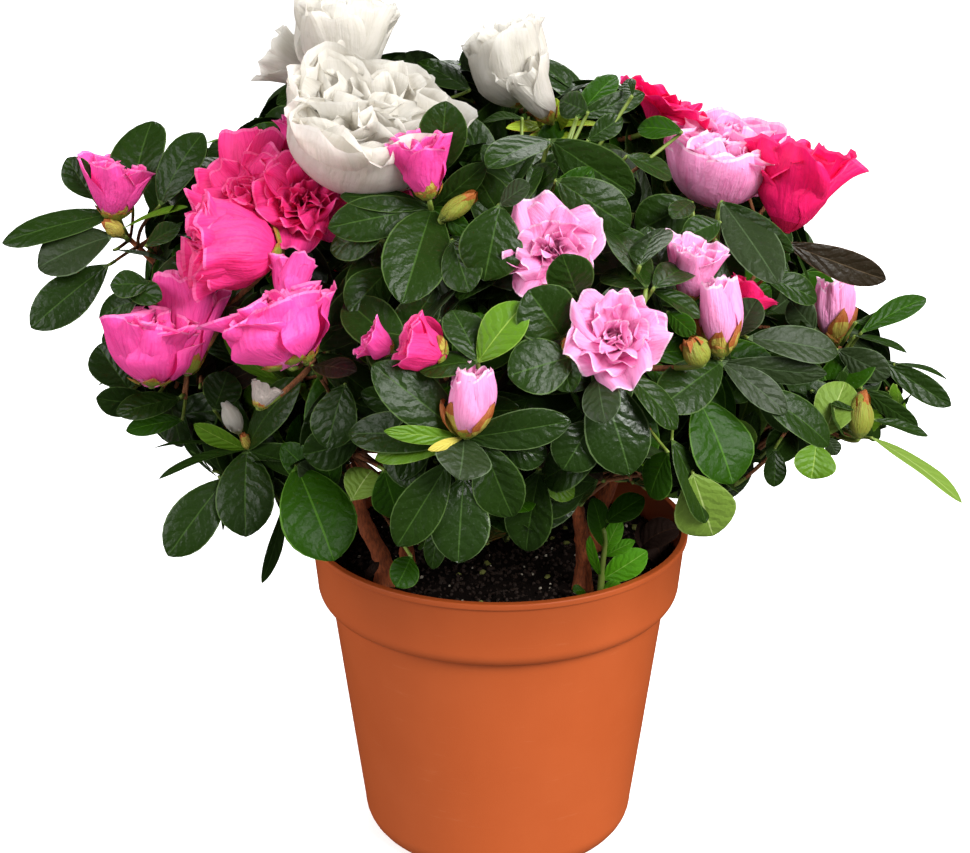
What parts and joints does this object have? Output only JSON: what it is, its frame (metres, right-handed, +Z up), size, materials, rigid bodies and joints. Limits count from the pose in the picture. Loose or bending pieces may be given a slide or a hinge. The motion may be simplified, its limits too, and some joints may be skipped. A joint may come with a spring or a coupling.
{
  "type": "potted azalea shrub",
  "caption": "Dwarf florist's azalea in bloom in a tapered plastic nursery pot: woody stems fork into a low, spreading dome of leaf and blossom over bare peat.",
  "frame": {"origin": "centre of the flat underside of the pot", "axes": "+Z up, -Y towards the front, +X to the right seen from the front, along the crown's longest spread"},
  "size_m": [0.3204, 0.2727, 0.2992],
  "materials": {
    "pot_plastic": "smooth terracotta-coloured moulded plastic, satin",
    "peat": "dark crumbly peat with perlite and fertilizer grains",
    "bark": "thin red-brown bark with fine fissures",
    "foliage": "dark green satin leaves with a pale fringe of hairs",
    "young_leaf": "fresh light green young leaves",
    "white_blossom": "thin ruffled matte petals, white with a cream shade",
    "hot_pink_blossom": "thin ruffled matte petals, hot pink",
    "pale_pink_blossom": "thin ruffled matte petals, pale pink",
    "crimson_blossom": "thin ruffled matte petals, crimson"
  },
  "bodies": {
    "root": {"basal_shoot": "young_leaf", "bough_centre": "bark", "bough_front_centre": "bark", "bough_front_left": "bark", "bough_front_low_right": "bark", "bough_front_mid": "bark", "bough_left_mid": "bark", "bough_left_rear_low": "bark", "bough_left_tip": "bark", "bough_low_left": "bark", "bough_rear_left": "bark", "bough_rear_low_left": "bark", "bough_rear_right": "bark", "bough_right_front": "bark", "bough_right_rear_low": "bark", "bough_right_tip": "bark", "bough_right_upper": "bark", "bough_top_left": "bark", "bough_top_mid": "bark", "bough_top_rear": "bark", "mass_centre": "pale_pink_blossom", "mass_centre_left": "foliage", "mass_front_centre": "pale_pink_blossom", "mass_front_left": "hot_pink_blossom", "mass_front_low_left": "foliage", "mass_front_low_mid": "foliage", "mass_front_low_right": "foliage", "mass_front_mid": "foliage", "mass_left_low": "foliage", "mass_left_mid": "hot_pink_blossom", "mass_left_rear_low": "foliage", "mass_left_tip": "foliage", "mass_left_upper": "hot_pink_blossom", "mass_low_left": "foliage", "mass_rear": "foliage", "mass_rear_left": "foliage", "mass_rear_low_left": "foliage", "mass_rear_low_right": "foliage", "mass_rear_right": "foliage", "mass_right_front": "foliage", "mass_right_low": "foliage", "mass_right_rear_low": "foliage", "mass_right_tip": "foliage", "mass_right_upper": "pale_pink_blossom", "mass_top_left": "white_blossom", "mass_top_mid": "white_blossom", "mass_top_rear": "foliage", "mass_top_right": "crimson_blossom", "pot": "pot_plastic", "soil": "peat", "stem_left": "bark", "stem_left_leaning": "bark", "stem_rear": "bark", "stem_right": "bark", "stem_right_rear": "bark"}
  },
  "joints": []
}
